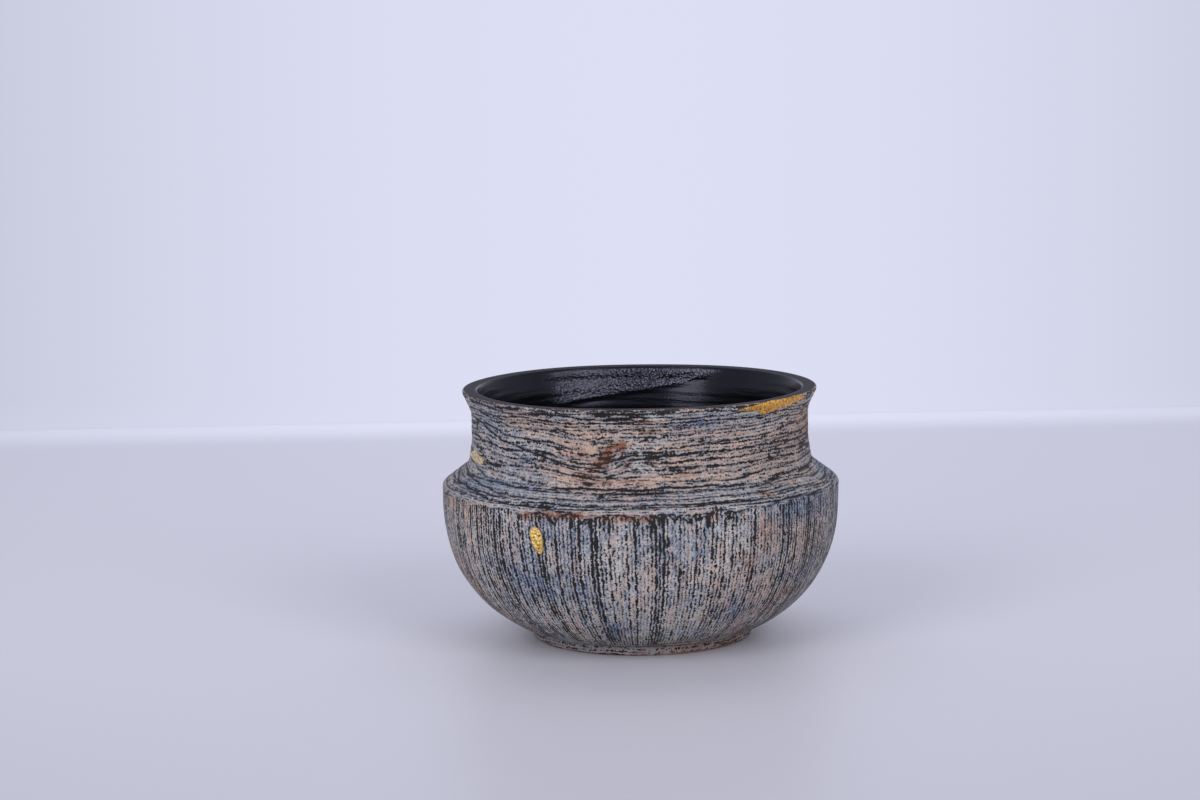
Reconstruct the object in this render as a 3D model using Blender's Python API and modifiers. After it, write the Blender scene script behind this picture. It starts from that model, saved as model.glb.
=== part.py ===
"""A thrown stoneware bowl with a combed outside and three chips filled with gold.

Metres, +Z up. The bowl stands on its foot ring with the origin in the middle of its underside.
Angles go round from -Y, which is the bowl's front, towards +X.
"""
import math

import bmesh
import bpy
import numpy as np

# Heights of the outside, counted up from the underside
FOOT_HEIGHT = 0.0038
BELLY_HEIGHT = 0.0512
EDGE_HEIGHT = 0.0019
SHOULDER_HEIGHT = 0.0072
NECK_WAIST_HEIGHT = 0.0090
NECK_HEIGHT = 0.0195
LIP_HEIGHT = 0.0080
LIP_EDGE_HEIGHT = 0.0016

# Radii of the outside
FOOT_RADIUS = 0.0403
BELLY_RADIUS = 0.0725
NECK_RADIUS = 0.0614
NECK_SPREAD = 0.0014
LIP_OVERHANG = 0.0030

# Thickness of the clay
WALL = 0.0050
LIP_WIDTH = 0.0054
FLOOR_THICKNESS = 0.0058
FOOT_RECESS = 0.0022
FOOT_RING_WIDTH = 0.0085
FOOT_UNDERCUT = 0.0008

# The belly is a superellipse, which would close this far below the underside
BELLY_CLOSES_BELOW = 0.0033
BELLY_POWER = 2.455
CAVITY_POWER = 2.3

# Radii of the rounded corners of the profile
EDGE_ROUND = 0.0046
NECK_BASE_ROUND = 0.0050
WAIST_ROUND = 0.0200
THROAT_ROUND = 0.0100
LIP_ROUND = 0.0009
LIP_EDGE_ROUND = 0.0012
FOOT_ROUND = 0.0007

# Furrows combed round the neck and the shoulder
FURROW_PITCH = 0.0038
FURROW_DEPTH = 0.0006

# Flutes combed down the belly, which fade out towards their ends. Three flutes share two of
# the flat sides that the bowl is turned with.
FLUTE_TRIPLES = 30
FLUTE_DEPTH = 0.0006
FLUTE_FADE = 0.0060
FLUTE_SWAY = math.radians(0.7)
FLUTE_SWAY_LENGTH = 0.0450

# How finely the shape is drawn
BELLY_RINGS = 6
CAVITY_RINGS = 8
ARC_STEP = math.radians(32.0)
FINE_ARC_STEP = math.radians(3.0)
FINE_RINGS = 48

# Fills of gold lacquer: how far they stand out of the wall, reach into it and clear the chip
FILL_PROUD = 0.0003
FILL_DEPTH = 0.0014
FILL_GAP = 0.0003
FILL_SIDES = 10

# The long fill in the lip's outer edge, with a tongue that hangs down from it
RIM_FILL_ANGLE = math.radians(48.9)
RIM_FILL_LENGTH = 0.0395
RIM_FILL_WIDTH = 0.0020
RIM_FILL_BELOW_TOP = 0.0002
RIM_TONGUE_ANGLE = math.radians(44.5)
RIM_TONGUE_REACH = math.radians(4.5)
RIM_TONGUE_DROP = 0.0022
RIM_FILL_RINGS = 14

# The oval fill on the belly and the fill low on the neck
BELLY_FILL_ANGLE = math.radians(-30.0)
BELLY_FILL_BELOW_EDGE = 0.0105
BELLY_FILL_WIDTH = 0.0052
BELLY_FILL_TALL = 0.0094
NECK_FILL_ANGLE = math.radians(-73.0)
NECK_FILL_ABOVE_BASE = 0.0058
NECK_FILL_WIDTH = 0.0190
NECK_FILL_TALL = 0.0044
SMALL_FILL_RINGS = 8

WIDEST_Z = FOOT_HEIGHT + BELLY_HEIGHT
EDGE_Z = WIDEST_Z + EDGE_HEIGHT
NECK_BASE_Z = EDGE_Z + SHOULDER_HEIGHT
WAIST_Z = NECK_BASE_Z + NECK_WAIST_HEIGHT
THROAT_Z = NECK_BASE_Z + NECK_HEIGHT
TOP_Z = THROAT_Z + LIP_HEIGHT
FLOOR_Z = FOOT_RECESS + FLOOR_THICKNESS
TURN_SIDES = 2 * FLUTE_TRIPLES
LIP_RADIUS = NECK_RADIUS + LIP_OVERHANG
MOUTH_RADIUS = LIP_RADIUS - LIP_WIDTH


def fade(share):
    """0 below 0 and 1 above 1, with a smooth rise between them."""
    share = np.clip(share, 0.0, 1.0)
    return share * share * (3.0 - 2.0 * share)


def rounded_path(corners, arc_step=ARC_STEP):
    """Points along the straight runs between corners (radius, height, round).

    Each corner but the first and the last becomes an arc, which takes at most
    half of the shorter run beside it. A round of 0 leaves the corner sharp.
    """
    points = [corners[0][:2]]
    for before, corner, after in zip(corners, corners[1:], corners[2:]):
        if corner[2] == 0.0:
            points.append(corner[:2])
            continue
        here = np.array(corner[:2])
        back = np.array(before[:2]) - here
        ahead = np.array(after[:2]) - here
        back_length = np.linalg.norm(back)
        ahead_length = np.linalg.norm(ahead)
        back = back / back_length
        ahead = ahead / ahead_length
        half_angle = math.acos(np.clip(back @ ahead, -1.0, 1.0)) / 2
        reach = corner[2] / math.tan(half_angle)
        reach = min(reach, back_length / 2, ahead_length / 2)
        inwards = (back + ahead) / np.linalg.norm(back + ahead)
        radius = reach * math.tan(half_angle)
        centre = here + inwards * radius / math.sin(half_angle)
        start = here + back * reach - centre
        end = here + ahead * reach - centre
        turn = math.atan2(start[0] * end[1] - start[1] * end[0], start @ end)
        steps = max(1, round(abs(turn) / arc_step))
        for step in range(steps + 1):
            angle = turn * step / steps
            x = start[0] * math.cos(angle) - start[1] * math.sin(angle)
            z = start[0] * math.sin(angle) + start[1] * math.cos(angle)
            points.append((centre[0] + x, centre[1] + z))
    points.append(corners[-1][:2])
    return points


def superellipse(radius, top, bottom, power, lowest, rings):
    """Points down a bulge that is widest at top and would close at bottom, down to lowest."""
    drop = top - bottom
    last = math.asin(((top - lowest) / drop) ** (power / 2))
    points = []
    for ring in range(rings + 1):
        angle = last * ring / rings
        r = radius * math.cos(angle) ** (2 / power)
        points.append((max(r, 0.0), top - drop * math.sin(angle) ** (2 / power)))
    return points


def inset(corners, depth):
    """The same corners on runs that lie deeper in the wall by depth, for a path that goes down."""
    moved = []
    for before, corner, after in zip(corners, corners[1:], corners[2:]):
        first = np.array(corner[:2]) - np.array(before[:2])
        second = np.array(after[:2]) - np.array(corner[:2])
        first = np.array([first[1], -first[0]]) / np.linalg.norm(first)
        second = np.array([second[1], -second[0]]) / np.linalg.norm(second)
        shift = depth * (first + second) / (1 + first @ second)
        moved.append((corner[0] + shift[0], corner[1] + shift[1], corner[2]))
    return moved


def side_corners():
    """Corners of the outside from the lip's top edge down to the widest line."""
    return [
        (MOUTH_RADIUS + LIP_WIDTH / 2, TOP_Z, 0.0),
        (LIP_RADIUS, TOP_Z, LIP_ROUND),
        (LIP_RADIUS, TOP_Z - LIP_EDGE_HEIGHT, LIP_EDGE_ROUND),
        (NECK_RADIUS, THROAT_Z, THROAT_ROUND),
        (NECK_RADIUS, WAIST_Z, WAIST_ROUND),
        (NECK_RADIUS + NECK_SPREAD, NECK_BASE_Z, NECK_BASE_ROUND),
        (BELLY_RADIUS, EDGE_Z, EDGE_ROUND),
        (BELLY_RADIUS, WIDEST_Z, 0.0),
    ]


def belly_points(rings=BELLY_RINGS):
    """The outside from the widest line down to the foot."""
    return superellipse(
        BELLY_RADIUS, WIDEST_Z, -BELLY_CLOSES_BELOW, BELLY_POWER, FOOT_HEIGHT, rings
    )


class Side:
    """The smooth outside from the lip's top to the foot, by the distance run down it."""

    def __init__(self):
        path = rounded_path(side_corners(), FINE_ARC_STEP) + belly_points(FINE_RINGS)[1:]
        path = np.array(path)
        run = np.linalg.norm(np.diff(path, axis=0), axis=1)
        keep = np.concatenate([[True], run > 1e-7])
        self.path = path[keep]
        run = np.linalg.norm(np.diff(self.path, axis=0), axis=1)
        self.distance = np.concatenate([[0.0], np.cumsum(run)])
        slope = np.gradient(self.path, self.distance, axis=0)
        outwards = np.stack([-slope[:, 1], slope[:, 0]], axis=1)
        self.normal = outwards / np.linalg.norm(outwards, axis=1)[:, None]

    def at(self, distance):
        """The radius and height at a distance, and the outward direction there."""
        point = [np.interp(distance, self.distance, self.path[:, i]) for i in (0, 1)]
        normal = [np.interp(distance, self.distance, self.normal[:, i]) for i in (0, 1)]
        return np.array(point), np.array(normal) / np.linalg.norm(normal)

    def distance_at(self, height):
        """The distance run down to a height below the lip's rounded edge."""
        return float(np.interp(-height, -self.path[:, 1], self.distance))


def furrowed_points(side, top):
    """The outside from the height top to the widest line, crest after furrow."""
    start = side.distance_at(top)
    end = side.distance_at(WIDEST_Z)
    furrows = max(1, round((end - start) / FURROW_PITCH))
    points = []
    for ring in range(1, 2 * furrows + 1):
        point, normal = side.at(start + (end - start) * ring / (2 * furrows))
        if ring % 2:
            point = point - normal * FURROW_DEPTH
        points.append(tuple(point))
    return points


def bowl_profile(side):
    """The half section, from the middle of the floor up the inside and down the outside."""
    corners = side_corners()
    under_lip = inset(corners[2:], WALL)
    cavity_radius = BELLY_RADIUS - WALL
    cavity = superellipse(
        cavity_radius, WIDEST_Z - WALL, FLOOR_Z, CAVITY_POWER, FLOOR_Z, CAVITY_RINGS
    )
    inside = [cavity[0] + (0.0,)] + under_lip[::-1]
    inside.append((MOUTH_RADIUS, TOP_Z, LIP_ROUND))
    inside.append(corners[0])
    lip = rounded_path(corners[:4])[1:-1]
    ring_inside = FOOT_RADIUS - FOOT_RING_WIDTH
    belly = belly_points()
    foot = rounded_path([
        belly[-1] + (0.0,),
        (FOOT_RADIUS - FOOT_UNDERCUT, FOOT_HEIGHT, 0.0),
        (FOOT_RADIUS, 0.0, FOOT_ROUND),
        (ring_inside, 0.0, FOOT_ROUND),
        (ring_inside, FOOT_RECESS, 0.0),
        (0.0, FOOT_RECESS, 0.0),
    ])
    return (
        cavity[:0:-1]
        + rounded_path(inside)
        + lip
        + furrowed_points(side, lip[-1][1])
        + belly[1:-1]
        + foot
    )


def turned_mesh(profile):
    """The mesh that a half section makes when it is turned round Z."""
    mesh = bpy.data.meshes.new("half_section")
    points = [(r, 0.0, z) for r, z in profile]
    mesh.from_pydata(points, [(i, i + 1) for i in range(len(points) - 1)], [])
    turned = bpy.data.objects.new("half_section", mesh)
    bpy.context.scene.collection.objects.link(turned)
    screw = turned.modifiers.new("turn", "SCREW")
    screw.axis = "Z"
    screw.angle = math.tau
    screw.steps = TURN_SIDES
    screw.render_steps = TURN_SIDES
    screw.use_merge_vertices = True
    screw.merge_threshold = 0.00001
    graph = bpy.context.evaluated_depsgraph_get()
    result = bpy.data.meshes.new_from_object(turned.evaluated_get(graph))
    bpy.data.objects.remove(turned)
    return result


def ring_of(vert, rings):
    """The ring of the outside that a point lies on, or None."""
    radius = math.hypot(vert.co.x, vert.co.y)
    for ring in rings:
        if abs(vert.co.z - ring[1]) < 1e-5 and radius > ring[0] - WALL / 2:
            return ring
    return None


def cut_flutes(mesh):
    """Cuts the flat sides of the belly's rings into crests and furrows, turn about."""
    rings = belly_points()[1:-1]
    shape = bmesh.new()
    shape.from_mesh(mesh)
    split = []
    for edge in shape.edges:
        first, second = (ring_of(vert, rings) for vert in edge.verts)
        if first is not None and first is second:
            split.append(edge)
    bmesh.ops.subdivide_edges(shape, edges=split, cuts=2)
    column = math.tau / TURN_SIDES / 3
    for vert in shape.verts:
        ring = ring_of(vert, rings)
        if ring is None:
            continue
        fading = fade((WIDEST_Z - ring[1]) / FLUTE_FADE) * fade((ring[1] - FOOT_HEIGHT) / FLUTE_FADE)
        index = round(math.atan2(vert.co.y, vert.co.x) / column)
        radius = ring[0] - (FLUTE_DEPTH * fading if index % 2 else 0.0)
        angle = index * column
        sway = math.sin(math.tau * ring[1] / FLUTE_SWAY_LENGTH + 3 * angle)
        angle += FLUTE_SWAY * sway * fading
        vert.co = (radius * math.cos(angle), radius * math.sin(angle), ring[1])
    bmesh.ops.triangulate(shape, faces=[face for face in shape.faces if len(face.verts) > 4])
    shape.to_mesh(mesh)
    shape.free()


def lens_mesh(name, side, rings, centre_angle, half_angle, place):
    """A lens that lies in the curve of the wall, from a sphere with its poles left and right.

    place gives, for a share of the half angle from -1 to 1, how far down the side
    the middle of the lens is, and its height where the sphere is full.
    """
    shape = bmesh.new()
    bmesh.ops.create_uvsphere(shape, u_segments=FILL_SIDES, v_segments=rings, radius=1.0)
    for vert in shape.verts:
        outwards, up, along = vert.co.x, vert.co.y, -vert.co.z
        middle, tall = place(along)
        normal = side.at(middle)[1]
        point = side.at(middle - up * tall / 2)[0]
        point = point + normal * outwards * (FILL_PROUD if outwards > 0 else FILL_DEPTH)
        angle = centre_angle + along * half_angle
        vert.co = (point[0] * math.sin(angle), -point[0] * math.cos(angle), point[1])
    mesh = bpy.data.meshes.new(name)
    shape.to_mesh(mesh)
    shape.free()
    return mesh


def rim_fill(side):
    """The long fill whose upper border follows the lip's top edge."""
    half_angle = RIM_FILL_LENGTH / 2 / LIP_RADIUS
    upper = side.distance_at(TOP_Z - RIM_FILL_BELOW_TOP)

    def place(along):
        from_tongue = (RIM_FILL_ANGLE + along * half_angle - RIM_TONGUE_ANGLE) / RIM_TONGUE_REACH
        tall = RIM_FILL_WIDTH + RIM_TONGUE_DROP * math.exp(-from_tongue ** 2)
        taper = math.sqrt(max(0.0, 1.0 - along ** 2))
        return upper + tall * taper / 2, tall

    return lens_mesh("gold_fill_rim", side, RIM_FILL_RINGS, RIM_FILL_ANGLE, half_angle, place)


def small_fill(name, side, angle, height, width, tall):
    """A fill with an oval border round a point on the wall."""
    middle = side.distance_at(height)
    half_angle = width / 2 / side.at(middle)[0][0]
    return lens_mesh(name, side, SMALL_FILL_RINGS, angle, half_angle, lambda along: (middle, tall))


def fill_meshes(side):
    """The three gold fills."""
    return [
        rim_fill(side),
        small_fill(
            "gold_fill_belly", side, BELLY_FILL_ANGLE, EDGE_Z - BELLY_FILL_BELOW_EDGE,
            BELLY_FILL_WIDTH, BELLY_FILL_TALL,
        ),
        small_fill(
            "gold_fill_neck", side, NECK_FILL_ANGLE, NECK_BASE_Z + NECK_FILL_ABOVE_BASE,
            NECK_FILL_WIDTH, NECK_FILL_TALL,
        ),
    ]


def make_material(name, colour, roughness, metallic):
    """A plain Principled material."""
    material = bpy.data.materials.new(name)
    material.use_nodes = True
    shader = material.node_tree.nodes["Principled BSDF"]
    shader.inputs["Base Color"].default_value = (*colour, 1.0)
    shader.inputs["Roughness"].default_value = roughness
    shader.inputs["Metallic"].default_value = metallic
    material.diffuse_color = (*colour, 1.0)
    return material


def add_object(name, mesh, collection, material=None):
    """A named object for a mesh, in a collection."""
    item = bpy.data.objects.new(name, mesh)
    if material is not None:
        mesh.materials.clear()
        mesh.materials.append(material)
    collection.objects.link(item)
    return item


def add_chip(bowl, fill, cutters):
    """Cuts the hollow that a fill sits in: the fill's own shape, larger by the gap all round."""
    cutter = add_object(fill.name + "_chip", fill.data.copy(), cutters)
    grow = cutter.modifiers.new("gap", "DISPLACE")
    grow.strength = FILL_GAP
    grow.mid_level = 0.0
    cutter.hide_render = True
    cutter.display_type = "WIRE"
    cut = bowl.modifiers.new(cutter.name, "BOOLEAN")
    cut.operation = "DIFFERENCE"
    cut.solver = "EXACT"
    cut.object = cutter


def main():
    for item in list(bpy.data.objects):
        bpy.data.objects.remove(item)
    pieces = bpy.data.collections.new("tea_waste_bowl")
    cutters = bpy.data.collections.new("cutters")
    for collection in (pieces, cutters):
        bpy.context.scene.collection.children.link(collection)

    stoneware = make_material("stoneware", (0.130, 0.100, 0.085), 0.75, 0.0)
    gold = make_material("gold_lacquer", (0.560, 0.330, 0.085), 0.35, 1.0)

    side = Side()
    mesh = turned_mesh(bowl_profile(side))
    cut_flutes(mesh)
    mesh.shade_smooth()
    mesh.set_sharp_from_angle(angle=math.radians(35.0))
    bowl = add_object("bowl", mesh, pieces, stoneware)

    for mesh in fill_meshes(side):
        mesh.shade_smooth()
        fill = add_object(mesh.name, mesh, pieces, gold)
        add_chip(bowl, fill, cutters)


main()
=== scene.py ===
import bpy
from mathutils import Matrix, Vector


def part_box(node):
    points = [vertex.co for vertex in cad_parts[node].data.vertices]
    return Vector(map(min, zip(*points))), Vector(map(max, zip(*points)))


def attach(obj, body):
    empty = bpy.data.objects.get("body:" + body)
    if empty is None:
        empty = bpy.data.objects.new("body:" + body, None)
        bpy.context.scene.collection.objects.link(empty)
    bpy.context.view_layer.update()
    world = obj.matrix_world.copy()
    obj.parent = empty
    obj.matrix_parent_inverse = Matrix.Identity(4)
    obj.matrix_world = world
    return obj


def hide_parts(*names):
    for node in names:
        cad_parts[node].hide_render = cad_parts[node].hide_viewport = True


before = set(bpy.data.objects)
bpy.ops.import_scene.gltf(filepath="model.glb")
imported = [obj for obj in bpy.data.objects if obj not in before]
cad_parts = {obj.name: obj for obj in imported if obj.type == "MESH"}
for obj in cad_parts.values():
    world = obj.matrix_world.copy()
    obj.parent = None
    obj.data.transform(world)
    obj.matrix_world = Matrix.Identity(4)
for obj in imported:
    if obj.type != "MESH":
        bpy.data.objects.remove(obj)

"""Looks of a stoneware rinse-water bowl: combed slip outside, black glaze inside, gold repairs.

The bowl's sizes are in millimetres until its mesh is made. Angles go round from -Y, its front,
towards +X, and a drop is the way down the outside from the middle of the lip's top. The table,
the lights and the camera are placed in metres.
"""
import math

import bpy
import numpy as np
from mathutils import Matrix

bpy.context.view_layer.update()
MM = 0.001
BOWL_LOW, BOWL_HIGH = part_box("bowl")

# Sizes of the section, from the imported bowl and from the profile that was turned
BELLY_RADIUS = (BOWL_HIGH[0] - BOWL_LOW[0]) / 2 / MM
TOP_Z = BOWL_HIGH[2] / MM
FOOT_RADIUS = 40.3
FOOT_HEIGHT = 3.8
FOOT_UNDERCUT = 0.8
FOOT_RING_WIDTH = 8.5
FOOT_RECESS = 2.2
NECK_RADIUS = 61.4
NECK_SPREAD = 1.4
LIP_OVERHANG = 3.0
LIP_WIDTH = 5.4
WALL = 5.0
FLOOR_Z = 8.0
WIDEST_Z = 55.0
EDGE_Z = 56.9
NECK_BASE_Z = 64.1
WAIST_Z = 73.1
THROAT_Z = 83.6
BELLY_CLOSES_BELOW = 3.3
BELLY_POWER = 2.455
CAVITY_POWER = 2.3
LIP_RADIUS = NECK_RADIUS + LIP_OVERHANG
MOUTH_RADIUS = LIP_RADIUS - LIP_WIDTH

# The comb's teeth, and how far clay, glaze and gold stand below or above the turned wall
BELLY_TEETH = 311
NECK_PITCH = 1.27
SKIN_INSET = 0.10
SKIN_UNEVEN = 0.10
MARK_DEPTH = 0.36
LEDGE_DEPTH = 0.16
CHIP_DEPTH = 0.45
RIDGE_HEIGHT = 0.22
LIP_DIP = 0.16
GOLD_RISE = 0.13
GOLD_DEPTH = 0.28
GOLD_LUMPS = 0.035
GOLD_LIFT = 0.02

# Columns round the bowl, and rows as the greatest step along each stretch of the section
COARSE_COLUMNS = 180
CAVITY_STEP = 3.6
INSIDE_STEP = 0.8
LIP_STEP = 0.42
NECK_STEP = 0.40
LEDGE_STEP = 0.60
BELLY_STEP = 2.7
FOOT_STEP = 0.8
UNDERSIDE_STEP = 4.0


def rounded_path(corners, step=0.05):
    """Corners (radius, height, round) joined by straight runs, with an arc of that radius at each.

    An arc's points are its centre plus the radius turned from one run to the next.
    """
    points = [np.array([corners[0][:2]])]
    for before, corner, after in zip(corners, corners[1:], corners[2:]):
        here = np.array(corner[:2])
        back = np.array(before[:2]) - here
        ahead = np.array(after[:2]) - here
        room = min(np.linalg.norm(back), np.linalg.norm(ahead)) / 2
        back = back / np.linalg.norm(back)
        ahead = ahead / np.linalg.norm(ahead)
        half = math.acos(np.clip(back @ ahead, -1, 1)) / 2
        reach = min(corner[2] / math.tan(half), room)
        centre = here + (back + ahead) / np.linalg.norm(back + ahead) * reach / math.cos(half)
        start = here + back * reach - centre
        end = here + ahead * reach - centre
        turn = math.atan2(start[0] * end[1] - start[1] * end[0], start @ end)
        steps = max(3, int(abs(turn) * np.linalg.norm(start) / step))
        angle = turn * np.linspace(0, 1, steps)
        x = start[0] * np.cos(angle) - start[1] * np.sin(angle)
        z = start[0] * np.sin(angle) + start[1] * np.cos(angle)
        points.append(centre + np.stack([x, z], axis=1))
    points.append(np.array([corners[-1][:2]]))
    return np.concatenate(points)


def superellipse(radius, top, bottom, power, lowest, count=400):
    """A bulge widest at top: radius is R cos^(2/p), height is top - drop sin^(2/p) of one angle."""
    drop = top - bottom
    last = math.asin(((top - lowest) / drop) ** (power / 2))
    angle = np.linspace(0, last, count)
    r = radius * np.cos(angle) ** (2 / power)
    return np.stack([np.maximum(r, 0), top - drop * np.sin(angle) ** (2 / power)], axis=1)


class Section:
    """The half section as one line, by the distance run along it.

    It starts in the middle of the floor, climbs the inside, crosses the lip, and goes down
    the outside and under the foot to the middle of the recess.
    """

    def __init__(self):
        ring_inside = FOOT_RADIUS - FOOT_RING_WIDTH
        cavity = superellipse(
            BELLY_RADIUS - WALL, WIDEST_Z - WALL, FLOOR_Z, CAVITY_POWER, FLOOR_Z
        )[::-1]
        inside = rounded_path([
            (*cavity[-1], 0.0),
            (BELLY_RADIUS - WALL, EDGE_Z - 2.5, 4.0),
            (NECK_RADIUS - 3.6, NECK_BASE_Z - 2.6, 8.0),
            (NECK_RADIUS - WALL, WAIST_Z + 1.0, 20.0),
            (NECK_RADIUS - WALL + 0.7, THROAT_Z, 20.0),
            (MOUTH_RADIUS - 0.4, TOP_Z - 2.2, 12.0),
            (MOUTH_RADIUS + 0.2, TOP_Z - 0.25, 0.9),
            (MOUTH_RADIUS + LIP_WIDTH / 2, TOP_Z, 0.0),
        ])
        outside = rounded_path([
            (MOUTH_RADIUS + LIP_WIDTH / 2, TOP_Z, 0.0),
            (LIP_RADIUS, TOP_Z - 0.15, 0.9),
            (LIP_RADIUS, TOP_Z - 1.6, 1.2),
            (NECK_RADIUS, THROAT_Z, 10.0),
            (NECK_RADIUS, WAIST_Z, 20.0),
            (NECK_RADIUS + NECK_SPREAD, NECK_BASE_Z, 5.0),
            (BELLY_RADIUS, EDGE_Z, 4.6),
            (BELLY_RADIUS, WIDEST_Z, 0.0),
        ])
        belly = superellipse(
            BELLY_RADIUS, WIDEST_Z, -BELLY_CLOSES_BELOW, BELLY_POWER, FOOT_HEIGHT
        )
        foot = rounded_path([
            (*belly[-1], 0.0),
            (FOOT_RADIUS - FOOT_UNDERCUT, FOOT_HEIGHT, 0.5),
            (FOOT_RADIUS, 0.0, 0.7),
            (ring_inside, 0.0, 0.7),
            (ring_inside, FOOT_RECESS, 0.7),
            (0.0, FOOT_RECESS, 0.0),
        ])
        stretches = [cavity, inside, outside, belly, foot]
        line = np.concatenate(stretches)
        run = np.linalg.norm(np.diff(line, axis=0), axis=1)
        far = np.concatenate([[0.0], np.cumsum(run)])
        ends = np.cumsum([len(stretch) for stretch in stretches]) - 1
        self.cavity_end, self.lip, _, self.foot, self.end = far[ends]
        keep = np.concatenate([[True], run > 1e-9])
        line, far = line[keep], far[keep]
        self.far = np.arange(0, self.end, 0.05)
        self.r = np.interp(self.far, far, line[:, 0])
        self.z = np.interp(self.far, far, line[:, 1])
        slope = np.stack([np.gradient(self.r), np.gradient(self.z)], axis=1)
        width = 9
        blur = np.ones(width) / width
        slope = np.stack([np.convolve(np.pad(a, width // 2, "edge"), blur, "valid") for a in slope.T])
        slope = slope / np.linalg.norm(slope, axis=0)
        self.out_r, self.out_z = -slope[1], slope[0]

    def at(self, far):
        """Radius, height and the two parts of the outward direction at a distance."""
        return [np.interp(far, self.far, a) for a in (self.r, self.z, self.out_r, self.out_z)]

    def outside_at(self, z):
        """The distance at which the outside passes a height."""
        part = self.far >= self.lip
        return np.interp(-np.asarray(z, float), -self.z[part], self.far[part])


SECTION = Section()


def steps(start, end, greatest):
    """Distances from start up to, but without, end, in even steps no longer than greatest."""
    count = max(1, math.ceil((end - start) / greatest))
    return start + (end - start) * np.arange(count) / count


def smooth(low, high, value):
    """0 below low and 1 above high, with a smooth rise between them."""
    share = np.clip((value - low) / (high - low), 0, 1)
    return share * share * (3 - 2 * share)


def ripple(seed, theta, along, turns, waves, count=7):
    """Smooth unevenness of about -1 to 1 that closes round the bowl.

    It is a sum of sine waves, each with a whole number of turns round the bowl.
    """
    rng = np.random.default_rng(seed)
    total = np.zeros(np.broadcast(theta, along).shape)
    for _ in range(count):
        around = rng.integers(1, turns + 1)
        down = rng.uniform(-waves, waves)
        total += np.sin(around * theta + down * along + rng.uniform(0, math.tau))
    return total * 1.3 / count ** 0.5 / 1.4


def comb_marks(across, along, middle, start, end, places, strengths, width, ragged, seed):
    """How deep a comb's widest teeth have marked the clay, from 0 to 1.

    Each tooth leaves a groove, a bell curve of the distance to its own line. The lines lie
    at the given places beside the middle line and start and end raggedly.
    """
    rng = np.random.default_rng(seed)
    groove = np.zeros(across.shape)
    for place, strength in zip(places, strengths):
        first, last = start + rng.uniform(-ragged, ragged), end + rng.uniform(-ragged, ragged)
        broad = width * rng.uniform(0.8, 1.3)
        line = strength * np.exp(-((across - middle - place) / broad) ** 2)
        line = line * smooth(first, first + ragged / 2, along)
        groove = np.maximum(groove, line * (1 - smooth(last - ragged / 2, last, along)))
    return groove


def wrapped(theta, centre):
    """The angle from a centre line, between half a turn each way."""
    return (theta - centre + math.pi) % math.tau - math.pi


def patch(theta, z, spots):
    """The sum of soft oval spots: (angle in degrees, height, half width in degrees, half height, amount)."""
    total = np.zeros(np.broadcast(theta, z).shape)
    for angle, height, wide, tall, amount in spots:
        across = wrapped(theta, math.radians(angle)) / math.radians(wide)
        up = (z - height) / tall
        total += amount * np.exp(-(across ** 2 + up ** 2))
    return total


# Outlines of the gold repairs, from left to right: (angle in degrees, lowest height, highest height)
RIM_GOLD = [
    (31.6, 89.4, 89.7), (34.0, 89.0, 89.9), (36.9, 89.0, 90.5), (39.0, 88.4, 90.7), (40.9, 88.2, 91.0),
    (42.6, 86.9, 91.1), (43.8, 86.5, 91.2), (45.4, 87.2, 91.35), (48.5, 87.3, 91.4), (50.2, 88.2, 91.4),
    (54.6, 88.3, 91.3), (56.8, 88.7, 91.4), (59.0, 89.2, 91.4), (62.1, 89.1, 91.1), (65.4, 89.9, 90.4),
]
BELLY_GOLD = [
    (-31.9, 47.2, 48.9), (-31.6, 45.6, 50.0), (-31.1, 43.8, 50.8), (-30.3, 42.6, 51.3), (-29.6, 41.8, 50.8),
    (-29.0, 41.6, 50.1), (-28.4, 42.2, 49.0), (-28.1, 44.4, 47.2),
]
NECK_GOLD = [
    (-82.0, 68.1, 68.6), (-79.0, 67.9, 69.8), (-76.2, 67.8, 70.4), (-74.2, 67.5, 71.4), (-70.5, 67.2, 70.4),
    (-66.8, 67.1, 69.9), (-64.4, 67.5, 69.5), (-63.6, 68.2, 68.9),
]
# The ridge inside the back wall: (degrees from the back, height)
WIPED_RIDGE = [
    (-60.0, 91.0), (-34.0, 91.0), (-25.8, 87.7), (-15.9, 84.8), (-0.3, 81.7), (15.4, 79.9), (32.4, 77.9),
    (80.0, 75.0),
]


def upright_strokes():
    """Strokes down the belly: (middle angle in degrees, half width in mm, arch height, lean, seed)."""
    rng = np.random.default_rng(8)
    front = [
        (-28.5, 6.4, 1.6), (-19.3, 5.6, 1.9), (-7.2, 8.4, 1.9), (2.3, 4.4, 1.3), (8.6, 3.6, 1.2),
        (14.4, 2.4, 1.2), (21.5, 3.2, 3.0), (29.8, 6.4, 1.2),
    ]
    around = [
        (angle + rng.uniform(-1.6, 1.6), rng.uniform(4.6, 7.4), rng.uniform(0.7, 2.2))
        for angle in range(39, 322, 9)
    ]
    strokes = [(*stroke, rng.uniform(-0.025, 0.025), 500 + n) for n, stroke in enumerate(front + around)]
    return [strokes[n] for n in rng.permutation(len(strokes))]


def ledge_height(theta):
    """Height of the scalloped edge where the combing down the belly begins.

    Every stroke starts in a low arch, a parabola across it, on a slow wave round the bowl.
    """
    slow = WIDEST_Z + 0.35 * np.sin(theta * 2 + 0.6)
    slow = slow + patch(theta, 0.0, [(62, 0, 18, 1, 1.2), (-60, 0, 16, 1, 0.5)])
    arches = np.zeros(theta.shape)
    for angle, half, arch, _, _ in upright_strokes():
        across = wrapped(theta, math.radians(angle)) * BELLY_RADIUS / half
        arches = np.maximum(arches, arch * (1 - across ** 2))
    return slow + arches


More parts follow.
